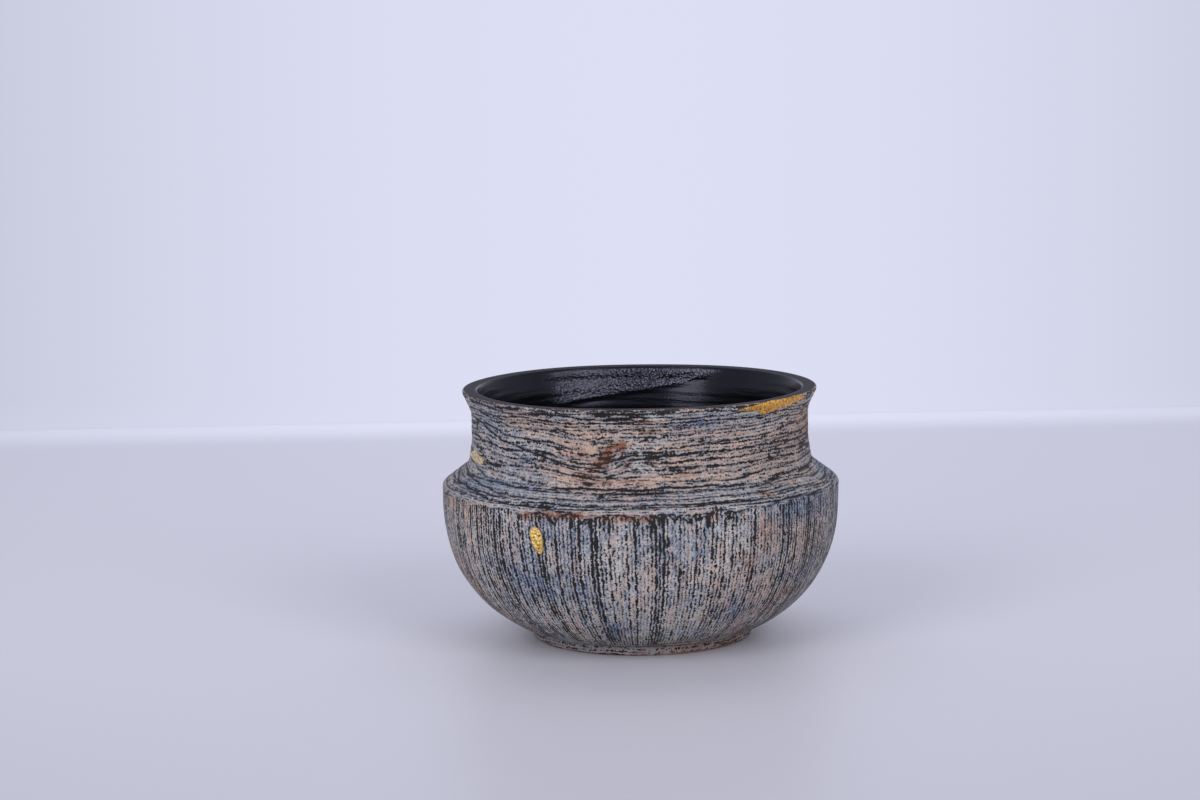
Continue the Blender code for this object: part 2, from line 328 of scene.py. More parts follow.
def seam_pull(theta, z):
    """How far, in mm, the lines round the neck are pulled down where two rounds of combing meet.

    It is a bell curve of the angle, broad on the left of this seam and narrow on its right,
    times a bell curve of the height.
    """
    side = np.degrees(wrapped(theta, math.radians(-12)))
    broad = np.where(side < 0, 23.0, 7.0)
    return -2.8 * np.exp(-(side / broad) ** 2 - ((z - 71.0) / 7.5) ** 2)


def level_strokes():
    """Strokes round the neck and shoulder: (middle angle, middle drop, reach in degrees, slope, seed)."""
    rng = np.random.default_rng(21)
    strokes = []
    for tier, drop in enumerate((6.0, 14.0, 22.0, 29.5, 37.0, 42.0)):
        angle = rng.uniform(-30, 0)
        while angle < 320:
            reach = rng.uniform(20, 46)
            slope = rng.uniform(-0.05, 0.05)
            strokes.append((angle, drop + rng.uniform(-1.6, 1.6), reach, slope, 100 * tier + len(strokes)))
            angle += reach * rng.uniform(1.2, 1.8)
    front = [
        (-44, 8.0, 34, 0.04, 901), (-40, 15.5, 29, 0.12, 902), (-42, 23.0, 30, 0.22, 903),
        (-55, 31.0, 36, 0.10, 908), (36, 9.0, 33, -0.03, 904), (42, 17.5, 38, -0.04, 905),
        (34, 26.0, 36, -0.03, 906), (6, 34.0, 40, -0.01, 907),
    ]
    return strokes + front


def comb_field(theta, drop, z):
    """How deep the comb's widest teeth have marked each point of the outside, from 0 to 1.

    Later strokes wipe out most of the marks that they cross.
    """
    uneven = ripple(3, theta, drop, 60, 1.1)
    swell = ripple(4, theta, drop, 12, 0.25)
    below_ledge = drop - (SECTION.outside_at(ledge_height(theta)) - SECTION.lip)
    on_neck = 1 - smooth(-0.3, 0.3, below_ledge)
    level = np.zeros(theta.shape)
    for angle, middle, reach, slope, seed in level_strokes():
        rng = np.random.default_rng(seed)
        around = wrapped(theta, math.radians(angle)) * NECK_RADIUS
        half = math.radians(reach) * NECK_RADIUS
        across = drop - slope * around + 0.22 * uneven + 0.7 * swell
        places = np.cumsum(rng.uniform(1.9, 4.0, 4)) - 6.5
        strengths = rng.uniform(0.55, 1.0, 4)
        groove = comb_marks(across, around, middle, -half, half, places, strengths, 0.38, 10.0, seed)
        cover = 1 - smooth(4.4, 5.2, np.abs(across - middle))
        cover = cover * (1 - smooth(half - 6, half, np.abs(around)))
        level = np.maximum(level * (1 - 0.7 * cover), groove)
    upright = np.zeros(theta.shape)
    for angle, half, _, lean, seed in upright_strokes():
        rng = np.random.default_rng(seed)
        across = wrapped(theta, math.radians(angle)) * BELLY_RADIUS
        across = across + lean * below_ledge + 0.18 * uneven + 0.6 * swell
        places = np.cumsum(rng.uniform(2.4, 4.6, 4)) - 7.5
        strengths = rng.uniform(0.5, 1.0, 4)
        groove = comb_marks(across, below_ledge, 0.0, 2.0, 66.0, places, strengths, 0.36, 3.0, seed)
        cover = 1 - smooth(half - 0.6, half + 0.2, np.abs(across))
        upright = np.maximum(upright * (1 - 0.8 * cover), groove * (0.4 + 0.6 * cover))
    field = np.maximum(level * on_neck, 0.2 * upright * (1 - on_neck) * smooth(5.0, 8.0, z))
    return field, np.maximum(on_neck, 1 - smooth(4.6, 5.4, z)), below_ledge


def gold_edges(outline, theta):
    """The drops of a repair's upper and lower edge at an angle, straight between its outline's points."""
    angles, low, high = np.radians([p[0] for p in outline]), [p[1] for p in outline], [p[2] for p in outline]
    upper = np.interp(theta, angles, SECTION.outside_at(high) - SECTION.lip)
    lower = np.interp(theta, angles, SECTION.outside_at(low) - SECTION.lip)
    return upper, lower


def chip_depth(theta, drop):
    """How deep the clay is chipped under the gold, in mm: a pan with a flat floor and sloping sides."""
    depth = np.zeros(theta.shape)
    for outline in (RIM_GOLD, BELLY_GOLD, NECK_GOLD):
        upper, lower = gold_edges(outline, theta)
        first, last = np.radians([outline[0][0], outline[-1][0]])
        ends = np.minimum(theta - first, last - theta) * NECK_RADIUS
        inside = np.minimum(np.minimum(drop - upper, lower - drop), ends)
        depth = np.maximum(depth, CHIP_DEPTH * smooth(0.05, CHIP_DEPTH, inside))
    return depth


def lay_out_rows():
    """Rows of the bowl's mesh as (distance, columns), from the floor's middle to the foot's."""
    lip = SECTION.lip
    ledge = SECTION.outside_at(58.6)
    belly = SECTION.outside_at(52.5)
    foot = SECTION.outside_at(5.2)
    ring_end = SECTION.foot + 16.0
    stretches = [
        (CAVITY_STEP, SECTION.cavity_end - 12, CAVITY_STEP, COARSE_COLUMNS // 2),
        (SECTION.cavity_end - 12, lip - 3.4, INSIDE_STEP, COARSE_COLUMNS),
        (lip - 3.4, lip + 3.4, LIP_STEP, COARSE_COLUMNS * 2),
        (lip + 3.4, ledge, NECK_STEP, COARSE_COLUMNS * 2),
        (ledge, belly, LEDGE_STEP, COARSE_COLUMNS * 6),
        (belly, foot, BELLY_STEP, COARSE_COLUMNS * 6),
        (foot, ring_end, FOOT_STEP, COARSE_COLUMNS),
        (ring_end, SECTION.end - 2.0, UNDERSIDE_STEP, COARSE_COLUMNS // 2),
    ]
    return [
        (far, columns)
        for start, stop, greatest, columns in stretches
        for far in steps(start, stop, greatest)
    ]


def closed_faces(counts):
    """Faces of a closed skin of rings, the first and last of them one point each.

    Where one ring has a whole number of times as many points as the next, each face takes
    one edge of the coarse ring and that many edges of the fine one. Returns (faces, ring) pairs.
    """
    firsts = np.cumsum([0] + counts[:-1])
    groups = []
    for ring in range(len(counts) - 1):
        a, b = counts[ring], counts[ring + 1]
        if a == 1 or b == 1:
            rim, pole = (firsts[ring + 1], firsts[ring]) if a == 1 else (firsts[ring], firsts[ring + 1])
            number = np.arange(max(a, b))
            fan = np.stack([rim + number, rim + (number + 1) % max(a, b), np.full(max(a, b), pole)], axis=1)
            groups.append((fan if a == 1 else fan[:, ::-1], ring))
            continue
        coarse = min(a, b)
        number = np.arange(coarse)[:, None]
        near = firsts[ring] + (number * (a // coarse) + np.arange(a // coarse, -1, -1)) % a
        far = firsts[ring + 1] + (number * (b // coarse) + np.arange(b // coarse + 1)) % b
        groups.append((np.concatenate([near, far], axis=1), ring))
    return groups


def make_piece(name, points, groups, paint, materials):
    """A smooth mesh from points in mm and (faces, ring) pairs, with a material number for each ring."""
    sizes = np.concatenate([np.full(len(faces), faces.shape[1]) for faces, _ in groups])
    corners = np.concatenate([faces.ravel() for faces, _ in groups])
    coats = np.concatenate([np.full(len(faces), paint[ring]) for faces, ring in groups])
    mesh = bpy.data.meshes.new(name)
    mesh.vertices.add(len(points))
    mesh.vertices.foreach_set("co", (points * MM).astype(np.float32).ravel())
    mesh.loops.add(len(corners))
    mesh.loops.foreach_set("vertex_index", corners.astype(np.int32))
    mesh.polygons.add(len(sizes))
    mesh.polygons.foreach_set("loop_start", (np.cumsum(sizes) - sizes).astype(np.int32))
    mesh.polygons.foreach_set("material_index", coats.astype(np.int32))
    mesh.polygons.foreach_set("use_smooth", np.ones(len(sizes), bool))
    mesh.update(calc_edges=True)
    piece = bpy.data.objects.new(name, mesh)
    for material in materials:
        mesh.materials.append(material)
    bpy.context.collection.objects.link(piece)
    return piece


def keep_values(piece, **values):
    """Stores a number or a vector at every vertex, under the name that the material reads."""
    for name, value in values.items():
        kind, slot = ("FLOAT", "value") if value.ndim == 1 else ("FLOAT_VECTOR", "vector")
        layer = piece.data.attributes.new(name, kind, "POINT")
        layer.data.foreach_set(slot, value.astype(np.float32).ravel())


def bowl_shape():
    """The bowl's points, face groups, coats and the values that its materials read.

    A point is its place on the section plus, along the outward direction, minus the depth of
    the comb's marks, the ledge, the chips and the hand-made unevenness there.
    """
    rows = lay_out_rows()
    counts = [1] + [columns for _, columns in rows] + [1]
    far = np.concatenate([[0.0], np.repeat([far for far, _ in rows], [n for _, n in rows]), [SECTION.end]])
    theta = np.concatenate([[0.0]] + [math.tau * np.arange(n) / n - math.pi for _, n in rows] + [[0.0]])
    r, z, out_r, out_z = SECTION.at(far)
    drop = far - SECTION.lip
    outer = drop > 1.8

    marks, on_neck, below_ledge = comb_field(theta, drop, z)
    marks = np.where(outer & (z > 1.5), marks, 0.0)
    ledge = smooth(0.0, 0.5, below_ledge) * (1 - smooth(6.0, 22.0, below_ledge))
    band_end = 4.6 + 0.8 * ripple(31, theta, 0.0, 18, 0)
    band_end = band_end + patch(theta, 0, [(-25, 0, 30, 1, 0.7), (25, 0, 25, 1, -0.9)])
    lip_band = smooth(2.5, 3.0, drop) * (1 - smooth(band_end - 0.6, band_end + 0.5, drop))
    skin = np.where(outer, 1.0, 0.0) * smooth(2.6, 4.5, drop) * smooth(2.0, 6.0, z)
    relief = MARK_DEPTH * marks + LEDGE_DEPTH * ledge + SKIN_UNEVEN * ripple(41, theta, drop, 11, 0.35)
    depth = skin * (relief + SKIN_INSET) + np.where(outer, chip_depth(theta, drop), 0.0)

    # Inside: a wiped band that ends in a slanting ridge at the back, rough above it and smooth below
    inner = ~outer & (far > SECTION.cavity_end - 25) & (drop < -3)
    from_back = np.degrees(wrapped(theta, math.pi))
    above = z - np.interp(from_back, *zip(*WIPED_RIDGE))
    at_back = smooth(-40, -20, from_back) * (1 - smooth(28, 42, from_back))
    ridges = 0.10 * ripple(51, theta, z, 9, 0.25) + 0.04 * np.sin(z * 2.2 + 1.5 * np.sin(theta * 3))
    ridges = ridges - at_back * (RIDGE_HEIGHT * np.exp(-(above / 0.6) ** 2) + 0.10 * smooth(-0.4, 0.8, above))
    ridges = ridges + 0.6 * at_back * smooth(75, 88, z) * (1 - smooth(86, 90, z))
    ridges = ridges - at_back * 0.14 * np.exp(-((above - 4.2 - 0.02 * from_back) / 0.6) ** 2)
    depth = depth + np.where(inner, ridges * smooth(3.0, 5.0, -drop), 0.0)
    pimpled = np.where(inner, 0.12 + at_back * smooth(-0.3, 0.9, above), 0.12)
    thin_glaze = 1 - smooth(1.9, 2.6, np.abs(drop))

    r = r - depth * out_r
    z = z - depth * out_z
    edge = np.exp(-(drop / 9.0) ** 2) * smooth(60, 85, z)
    z = z - edge * LIP_DIP * (1 + ripple(61, theta, 0.0, 5, 0))
    points = np.stack([r * np.sin(theta), -r * np.cos(theta), z], axis=1)

    sway = theta + 0.6 * ripple(71, theta, drop, 12, 0.22) / BELLY_RADIUS
    fall = drop + 0.5 * ripple(72, theta, drop, 14, 0.2) + seam_pull(theta, z)
    wall = np.stack([BELLY_RADIUS * np.sin(sway), -BELLY_RADIUS * np.cos(sway), fall], axis=1)
    tints = slip_tints(theta, z, drop, below_ledge, lip_band)
    ring = np.array([0.0] + [far for far, _ in rows])
    paint = np.where(ring < SECTION.lip + 2.0, 0, np.where(ring < SECTION.foot + 6.5, 1, 2))
    values = {"wall": wall, "marks": marks * skin, "on_neck": on_neck, "pimpled": pimpled}
    values.update(tints, thin_glaze=thin_glaze, ledge=np.clip(below_ledge, -6.0, 12.0))
    return points, closed_faces(counts), paint, values


def slip_tints(theta, z, drop, below_ledge, lip_band):
    """How blue, pink, rusty or bare the slip is at each point, how thin it is towards the foot, and how much
    painted shade darkens it on the flanks.

    Each is a sum of soft oval spots, given one by one in front and placed by chance behind. The bare
    clay also follows the ledge and the lip's edge, and the foot has lines of its own.
    """
    blue = patch(theta, z, [
        (-49, 62, 16, 3, 0.8), (-67, 60, 12, 3, 0.7), (-41, 71.5, 8, 4, 0.7), (-61, 86, 10, 4, 0.6),
        (-54, 80, 10, 4, 0.4), (20, 85.5, 10, 2.6, 1.0), (48, 54.5, 14, 4, 1.0), (60, 52, 12, 5, 0.5),
        (-31, 30, 12, 7, 0.9), (-40, 37.5, 10, 8, 0.6), (-21, 48, 12, 8, 0.8), (-14, 27, 9, 9, 0.6),
        (-9, 12, 6, 5, 1.0), (-40, 1.5, 45, 3.0, 1.5), (35, 1.5, 30, 3.0, 0.7), (5, 45, 8, 8, 0.6),
        (14, 44, 6, 9, 0.5), (13, 25, 6, 6, 0.4), (31, 19.5, 7, 5, 0.9), (63, 30, 9, 10, 0.5),
        (-2, 60, 16, 1.6, 0.5), (26, 62, 16, 2, 0.5), (-8, 73, 5, 3, 0.5),
    ])
    pink = patch(theta, z, [
        (-22, 83, 14, 4, 1.0), (-17, 78, 12, 5, 0.8), (-25, 69, 13, 4, 1.1), (-43, 85.5, 12, 3.5, 0.8),
        (-8, 64, 14, 4, 0.9), (6, 66, 16, 4, 0.9), (0, 84, 12, 3, 0.7), (15, 79, 16, 4, 0.6),
        (10, 74, 8, 4, 0.9), (28, 82, 12, 3, 0.5), (39, 74, 18, 6, 0.9), (62, 78, 16, 9, 1.2),
        (46, 66, 18, 4, 0.8), (20, 70, 14, 5, 0.5), (-10, 41, 3.5, 8, 0.3), (3, 38, 3.0, 12, 0.5),
        (-3, 30, 4, 8, 0.2), (33, 34, 8, 12, 0.5), (41, 48, 8, 7, 0.7), (55, 42, 10, 12, 0.8),
        (22, 33, 5, 10, 0.4), (39, 21, 10, 8, 0.6), (-70, 55, 10, 3, 0.8), (-22, 36, 4, 6, 0.4),
        (-52, 46, 10, 8, 0.3),
    ])
    rust = patch(theta, z, [
        (-4.5, 79.2, 2.6, 0.9, 0.9), (-7.4, 77.8, 2.7, 1.3, 1.3), (-9.8, 75.8, 2.4, 1.7, 1.3),
        (-11.8, 73.4, 2.2, 1.8, 1.1), (-14.5, 71.2, 2.2, 1.6, 0.8), (-17.5, 68.6, 2.4, 1.2, 0.7),
        (-20, 66.6, 2.6, 0.9, 0.6), (-19, 75.5, 7, 2.6, 0.45), (-14, 66.5, 5, 1.2, 0.5),
        (2, 83.5, 3, 0.8, 0.6), (-4, 72.2, 1.8, 1.6, 0.7), (4, 73, 1.8, 1.2, 0.5),
        (1, 87.2, 3, 0.9, 0.9), (-33, 54.8, 3.4, 1.4, 0.9), (-24, 55.7, 6, 1.2, 1.1),
        (-17.5, 55.7, 3.0, 1.4, 1.1), (-6, 55.2, 5, 1.3, 1.1), (2, 55.2, 3.4, 1.2, 0.8),
        (20.6, 55.0, 2.0, 1.3, 0.9), (40, 59.8, 2.0, 0.7, 1.0), (8, 5.2, 7, 0.8, 0.9),
        (21, 5.8, 6, 0.8, 0.9), (9, 38.3, 1.3, 1.2, 0.8), (12, 33.5, 1.3, 1.3, 0.8),
        (21, 17, 2.4, 1.6, 0.6), (37, 47, 4, 6, 0.35), (-40, 88.5, 7, 1.2, 0.4), (79, 78, 12, 9, 0.5),
        (54, 22.7, 5, 0.9, 0.8), (43, 8.7, 8, 2, 0.4), (38, 2, 26, 2.6, 0.45), (32, 38.4, 2.5, 3, 0.4),
        (14, 68.5, 3, 0.7, 0.6), (-3, 66.2, 7, 0.5, 0.6),
    ])
    bare = patch(theta, z, [
        (-9.4, 76.2, 1.5, 0.9, 0.35), (-11.6, 74.0, 1.5, 1.2, 0.4), (-13.6, 71.4, 1.6, 0.8, 0.4),
        (-17.8, 67.6, 2.0, 0.6, 0.5), (-4, 72.0, 1.5, 1.3, 0.4), (4, 73.0, 1.6, 1.1, 0.4),
        (-16.5, 65.4, 2.0, 0.6, 0.7), (10, 70.4, 3.2, 0.7, 0.3), (16, 70.0, 2.6, 0.6, 0.2),
        (23, 80, 7, 0.8, 0.15), (10, 75.4, 5, 1.0, 0.25), (2, 62.5, 8, 0.8, 0.3),
        (-12, 61.4, 2, 0.8, 0.4), (-14, 53.8, 1.0, 1.6, 0.2), (5.2, 54.2, 0.9, 1.5, 0.2),
        (12, 53.8, 0.8, 1.4, 0.3), (18.6, 53.0, 0.7, 2.6, 0.5), (24.8, 54.0, 0.7, 2.2, 0.4),
        (9, 38.3, 1.0, 0.9, 0.5), (12, 33.5, 1.1, 0.9, 0.4), (-29, 63.5, 16, 0.6, 0.15),
        (46, 34, 18, 24, 0.1),
    ])
    rng = np.random.default_rng(77)
    for tint, count, wide, tall in ((blue, 26, 8, 2.5), (pink, 26, 8, 2.5), (rust, 20, 1.6, 0.625)):
        tint += patch(theta, z, [
            (rng.uniform(85, 275), rng.uniform(8, 90),
             wide * rng.uniform(1, 3), tall * rng.uniform(1, 4.4), 0.8)
            for _ in range(count)
        ])
    ragged = np.clip(0.8 + 0.9 * ripple(81, theta, z, 70, 1.2), 0, 1.5)
    at_front = 0.3 + patch(theta, 0, [(-8, 0, 26, 1, 0.6), (22, 0, 10, 1, 0.45)])
    bare = bare + 0.3 * at_front * ragged * np.exp(-((below_ledge - 0.5) / 0.6) ** 2)
    bare = bare + 0.2 * lip_band * np.clip(0.9 + 0.7 * ripple(82, theta, z, 40, 1.5), 0, 1.5)
    bare = bare + patch(theta, z, [
        (angle + rng.uniform(-0.8, 0.8), rng.uniform(53.2, 54.6),
         0.5, rng.uniform(0.9, 2.2), rng.uniform(0.2, 0.6))
        for angle in np.arange(-31, 29, 2.5)
    ])
    bare = bare + 0.24 * np.exp(-((z - 3.5) / 0.5) ** 2) + 0.18 * np.exp(-((z - 1.4) / 0.4) ** 2)
    bare = bare - 0.2 * (1 - smooth(3.2, 4.4, z))
    # Thinner, duller slip towards the foot; on the left and right flanks, painted shade as well as browner
    # slip
    thin_slip_and_flank_shade = 0.6 * (1 - smooth(3.2, 5.0, z)) + 0.4 * (1 - smooth(5.0, 14.0, z))
    thin_slip_and_flank_shade = thin_slip_and_flank_shade + patch(theta, z, [(66, 20, 26, 50, 0.6), (60, 74, 30, 12, 0.25), (-80, 0, 12, 60, 0.3)])
    rust = rust + 0.8 * np.exp(-((drop - 2.45) / 0.4) ** 2) + 1.3 * (1 - smooth(0.3, 0.9, z))
    return {"blue": blue, "pink": pink, "rust": rust, "bare": bare, "thin_slip_and_flank_shade": thin_slip_and_flank_shade}


def gold_shape(outline, seed):
    """A repair's points and face groups: rings across it, from its left end to its right end.

    Round a ring the place across is the middle plus half the width times a cosine. The height
    over the wall is a root of the sine, small above and deeper below, plus a slight unevenness.
    """
    share = np.sin(np.linspace(-0.5, 0.5, 90)[1:-1] * math.pi) / 2 + 0.5
    first, last = np.radians([outline[0][0], outline[-1][0]])
    theta = (first + (last - first) * share)[:, None]
    upper, lower = gold_edges(outline, theta)
    turn = np.concatenate([np.linspace(0, 1, 22), np.linspace(1, 2, 9)[1:-1]]) * math.pi
    tall = lower - upper
    across = np.cos(turn)
    ragged = np.minimum(0.14, 0.06 * tall) * ripple(seed + 10, theta * 6, across * 2.0, 60, 1.2)
    drop = (upper + lower) / 2 + tall / 2 * across + ragged * np.abs(across)
    rise = np.sign(np.sin(turn)) * np.abs(np.sin(turn)) ** 0.6
    thin = np.clip(tall / 1.6, 0.25, 1)
    height = np.where(rise > 0, GOLD_RISE * rise, GOLD_DEPTH * rise) * thin
    lumps = np.where(rise > 0, GOLD_LUMPS * rise * ripple(seed, theta * 8, drop, 26, 2.4, 14), 0.0)
    height = height + lumps + GOLD_LIFT
    ends = [(first, gold_edges(outline, first)), (last, gold_edges(outline, last))]
    drop = np.concatenate([[np.mean(ends[0][1])], drop.ravel(), [np.mean(ends[1][1])]])
    height = np.concatenate([[0.0], height.ravel(), [0.0]])
    theta = np.concatenate([[first], np.repeat(theta.ravel(), len(turn)), [last]])
    r, z, out_r, out_z = SECTION.at(SECTION.lip + drop)
    r = r - SKIN_INSET * smooth(2.6, 4.5, drop) + height * out_r
    z = z + height * out_z
    points = np.stack([r * np.sin(theta), -r * np.cos(theta), z], axis=1)
    groups = closed_faces([1] + [len(turn)] * len(share) + [1])
    return points, groups


def linear(code, alpha=1.0):
    """An sRGB hex colour as the linear values that a shader takes."""
    parts = [int(code[n:n + 2], 16) / 255 for n in (1, 3, 5)]
    return tuple(p / 12.92 if p <= 0.04045 else ((p + 0.055) / 1.055) ** 2.4 for p in parts) + (alpha,)


def add(tree, kind, inputs=(), **settings):
    """Adds a node, sets its settings, and gives each input a value or the first output of a node."""
    node = tree.nodes.new("ShaderNode" + kind)
    for name, value in settings.items():
        setattr(node, name, value)
    for place, value in dict(inputs).items():
        if isinstance(value, bpy.types.Node):
            value = value.outputs[0]
        if isinstance(value, bpy.types.NodeSocket):
            tree.links.new(value, node.inputs[place])
        else:
            node.inputs[place].default_value = value
    return node


def start_material(name):
    """An empty material, its tree, and the place on its piece in mm."""
    material = bpy.data.materials.new(name)
    material.use_nodes = True
    tree = material.node_tree
    tree.nodes.clear()
    place = add(tree, "TexCoord").outputs["Object"]
    place = add(tree, "VectorMath", {0: place, 1: (1 / MM, 1 / MM, 1 / MM)}, operation="MULTIPLY")
    return material, tree, place


def slip_over_combed_stoneware():
    """Dark stoneware, combed while soft, brushed with pale and blue slip, and wiped back before firing.

    To the eye: dry matt ridges in greige, pink and grey, a thin blue wash part of the way
    down, and rough brown-black grooves that break up into dots. Rust shows where iron bled.
    """
    material, tree, place = start_material("slip_over_combed_stoneware")
    wall = add(tree, "Attribute", attribute_name="wall").outputs["Vector"]
    marks, on_neck, ledge, blue, pink, rust, bare, thin_slip_and_flank_shade = (
        add(tree, "Attribute", attribute_name=name).outputs["Fac"]
        for name in ("marks", "on_neck", "ledge", "blue", "pink", "rust", "bare", "thin_slip_and_flank_shade")
    )

    # Streaks follow the comb: 1.1 mm apart and some 15 mm long, down the belly and round the neck
    down = add(tree, "VectorMath", {0: wall, 1: (0.95, 0.95, 0.075)}, operation="MULTIPLY")
    down = add(tree, "TexNoise", {"Vector": down, "Scale": 1.0, "Detail": 2.0, "Roughness": 0.55})
    round_ = add(tree, "VectorMath", {0: wall, 1: (0.09, 0.09, 1.0)}, operation="MULTIPLY")
    round_ = add(tree, "TexNoise", {"Vector": round_, "Scale": 1.0, "Detail": 2.0, "Roughness": 0.55})
    streak = add(tree, "MixRGB", {0: on_neck, 1: down, 2: round_})
    # Clay grit of about 0.8 mm, crumbs of 2 mm, and stretches where the slip lies thicker or thinner
    grit = add(tree, "TexNoise", {"Vector": place, "Scale": 1.5, "Detail": 2.0, "Roughness": 0.6})
    breaks = add(tree, "TexNoise", {"Vector": place, "Scale": 0.5, "Detail": 1.0})
    cover = add(tree, "TexNoise", {"Vector": place, "Scale": 0.075, "Detail": 2.0})

    # Teeth: lines about 1.5 mm apart down the belly, and 1.3 mm apart round the neck
    parts = add(tree, "SeparateXYZ", {0: wall}).outputs
    angle = add(tree, "Math", {0: parts["X"], 1: parts["Y"]}, operation="ARCTAN2")
    angle_mm = add(tree, "Math", {0: angle, 1: BELLY_RADIUS}, operation="MULTIPLY")
    teeth_down = add(tree, "Math", {0: angle, 1: BELLY_TEETH / math.tau}, operation="MULTIPLY")
    teeth_round = add(tree, "Math", {0: parts["Z"], 1: 1 / NECK_PITCH}, operation="MULTIPLY")
    above = add(tree, "Math", {0: on_neck, 1: 0.5}, operation="GREATER_THAN")
    tooth = add(tree, "MixRGB", {0: above, 1: teeth_down, 2: teeth_round})
    along = add(tree, "MixRGB", {0: above, 1: parts["Z"], 2: angle_mm})
    waver = add(tree, "Math", {0: breaks, 1: 0.5}, operation="SUBTRACT")
    tooth = add(tree, "Math", {0: tooth, 1: waver}, operation="ADD")
    number = add(tree, "Math", {0: tooth}, operation="ROUND")
    off = add(tree, "Math", {0: tooth, 1: number}, operation="SUBTRACT")
    off = add(tree, "Math", {0: off}, operation="ABSOLUTE")
    # A few teeth are strong and most are weak, and each presses and lifts along its line, some 5 mm at a time
    strength = add(tree, "TexWhiteNoise", {"W": number}, noise_dimensions="1D")
    strength = add(tree, "Math", {0: strength, 1: 2.2}, operation="POWER")
    far_apart = add(tree, "Math", {0: number, 1: 7.31}, operation="MULTIPLY")
    own = add(tree, "Math", {0: along, 1: 0.2}, operation="MULTIPLY")
    own = add(tree, "CombineXYZ", {0: far_apart, 1: own, 2: above})
    press = add(tree, "TexNoise", {"Vector": own, "Scale": 1.0, "Detail": 2.0, "Roughness": 0.65})
    width = add(tree, "Math", {0: press, 1: 1.2, 2: -1.17}, operation="MULTIPLY_ADD")
    width = add(tree, "Math", {0: above, 1: -0.07, 2: width}, operation="MULTIPLY_ADD")
    width = add(tree, "Math", {0: strength, 1: 0.33, 2: width}, operation="MULTIPLY_ADD")
    width = add(tree, "Math", {0: grit, 1: 1.25, 2: width}, operation="MULTIPLY_ADD")
    width = add(tree, "Math", {0: bare, 1: 0.3, 2: width}, operation="MULTIPLY_ADD")
    # Lines widen where the slip is thinner and where painted shade darkens the flanks
    width = add(tree, "Math", {0: thin_slip_and_flank_shade, 1: 0.12, 2: width}, operation="MULTIPLY_ADD")
    inside = add(tree, "Math", {0: width, 1: off}, operation="SUBTRACT")
    line = add(tree, "MapRange", {0: inside, 1: -0.05, 2: 0.05}, interpolation_type="SMOOTHSTEP")

    # Depth under the slip's ridges: below 0 on a ridge and above 0.3 where no slip has stuck
    valley = add(tree, "MapRange", {0: inside, 1: -0.42, 2: 0.0, 3: -0.12, 4: 0.16})
    groove = add(tree, "Math", {0: marks, 1: 0.6, 2: bare}, operation="MULTIPLY_ADD")
    depth = add(tree, "Math", {0: streak, 1: 0.4, 2: groove}, operation="MULTIPLY_ADD")
    depth = add(tree, "Math", {0: breaks, 1: 0.6, 2: depth}, operation="MULTIPLY_ADD")
    depth = add(tree, "Math", {0: grit, 1: 0.7, 2: depth}, operation="MULTIPLY_ADD")
    depth = add(tree, "Math", {0: cover, 1: 0.25, 2: depth}, operation="MULTIPLY_ADD")
    depth = add(tree, "Math", {0: depth, 1: 0.98}, operation="SUBTRACT")
    patchy = add(tree, "MapRange", {0: depth, 1: 0.25, 2: 0.31}, interpolation_type="SMOOTHSTEP")
    clay = add(tree, "Math", {0: patchy, 1: line}, operation="MAXIMUM")
    # Below the ledge the slip ends in a scalloped dark line, arches some 4 mm wide with dark drips between
    arch = add(tree, "Math", {0: angle_mm, 1: 0.27}, operation="MULTIPLY")
    arch = add(tree, "TexVoronoi", {"W": arch, "Scale": 1.0}, voronoi_dimensions="1D")
    arch = add(tree, "Math", {0: arch, 1: 0.6}, operation="MINIMUM")
    low_edge = add(tree, "Math", {0: arch, 1: 2.4}, operation="POWER")
    low_edge = add(tree, "Math", {0: low_edge, 1: -6.5, 2: ledge}, operation="MULTIPLY_ADD")
    low_edge = add(tree, "Math", {0: breaks, 1: -1.8, 2: low_edge}, operation="MULTIPLY_ADD")
    low_edge = add(tree, "Math", {0: low_edge, 1: 0.5}, operation="ADD")
    low_edge = add(tree, "Math", {0: low_edge}, operation="ABSOLUTE")
    thick = add(tree, "Math", {0: arch, 1: 0.8, 2: -0.72}, operation="MULTIPLY_ADD")
    thick = add(tree, "Math", {0: grit, 1: 1.9, 2: thick}, operation="MULTIPLY_ADD")
    scallop = add(tree, "Math", {0: thick, 1: low_edge}, operation="SUBTRACT")
    scallop = add(tree, "MapRange", {0: scallop, 1: -0.1, 2: 0.1}, interpolation_type="SMOOTHSTEP")
    front = add(tree, "MapRange", {0: parts["Y"], 1: -62.0, 2: -65.0})
    scallop = add(tree, "Math", {0: scallop, 1: front}, operation="MULTIPLY")
    clay = add(tree, "Math", {0: clay, 1: scallop}, operation="MAXIMUM")
    depth = add(tree, "Math", {0: depth, 1: valley}, operation="ADD")
    wash = add(tree, "MapRange", {0: depth, 1: -0.22, 2: 0.28}, interpolation_type="SMOOTHSTEP")

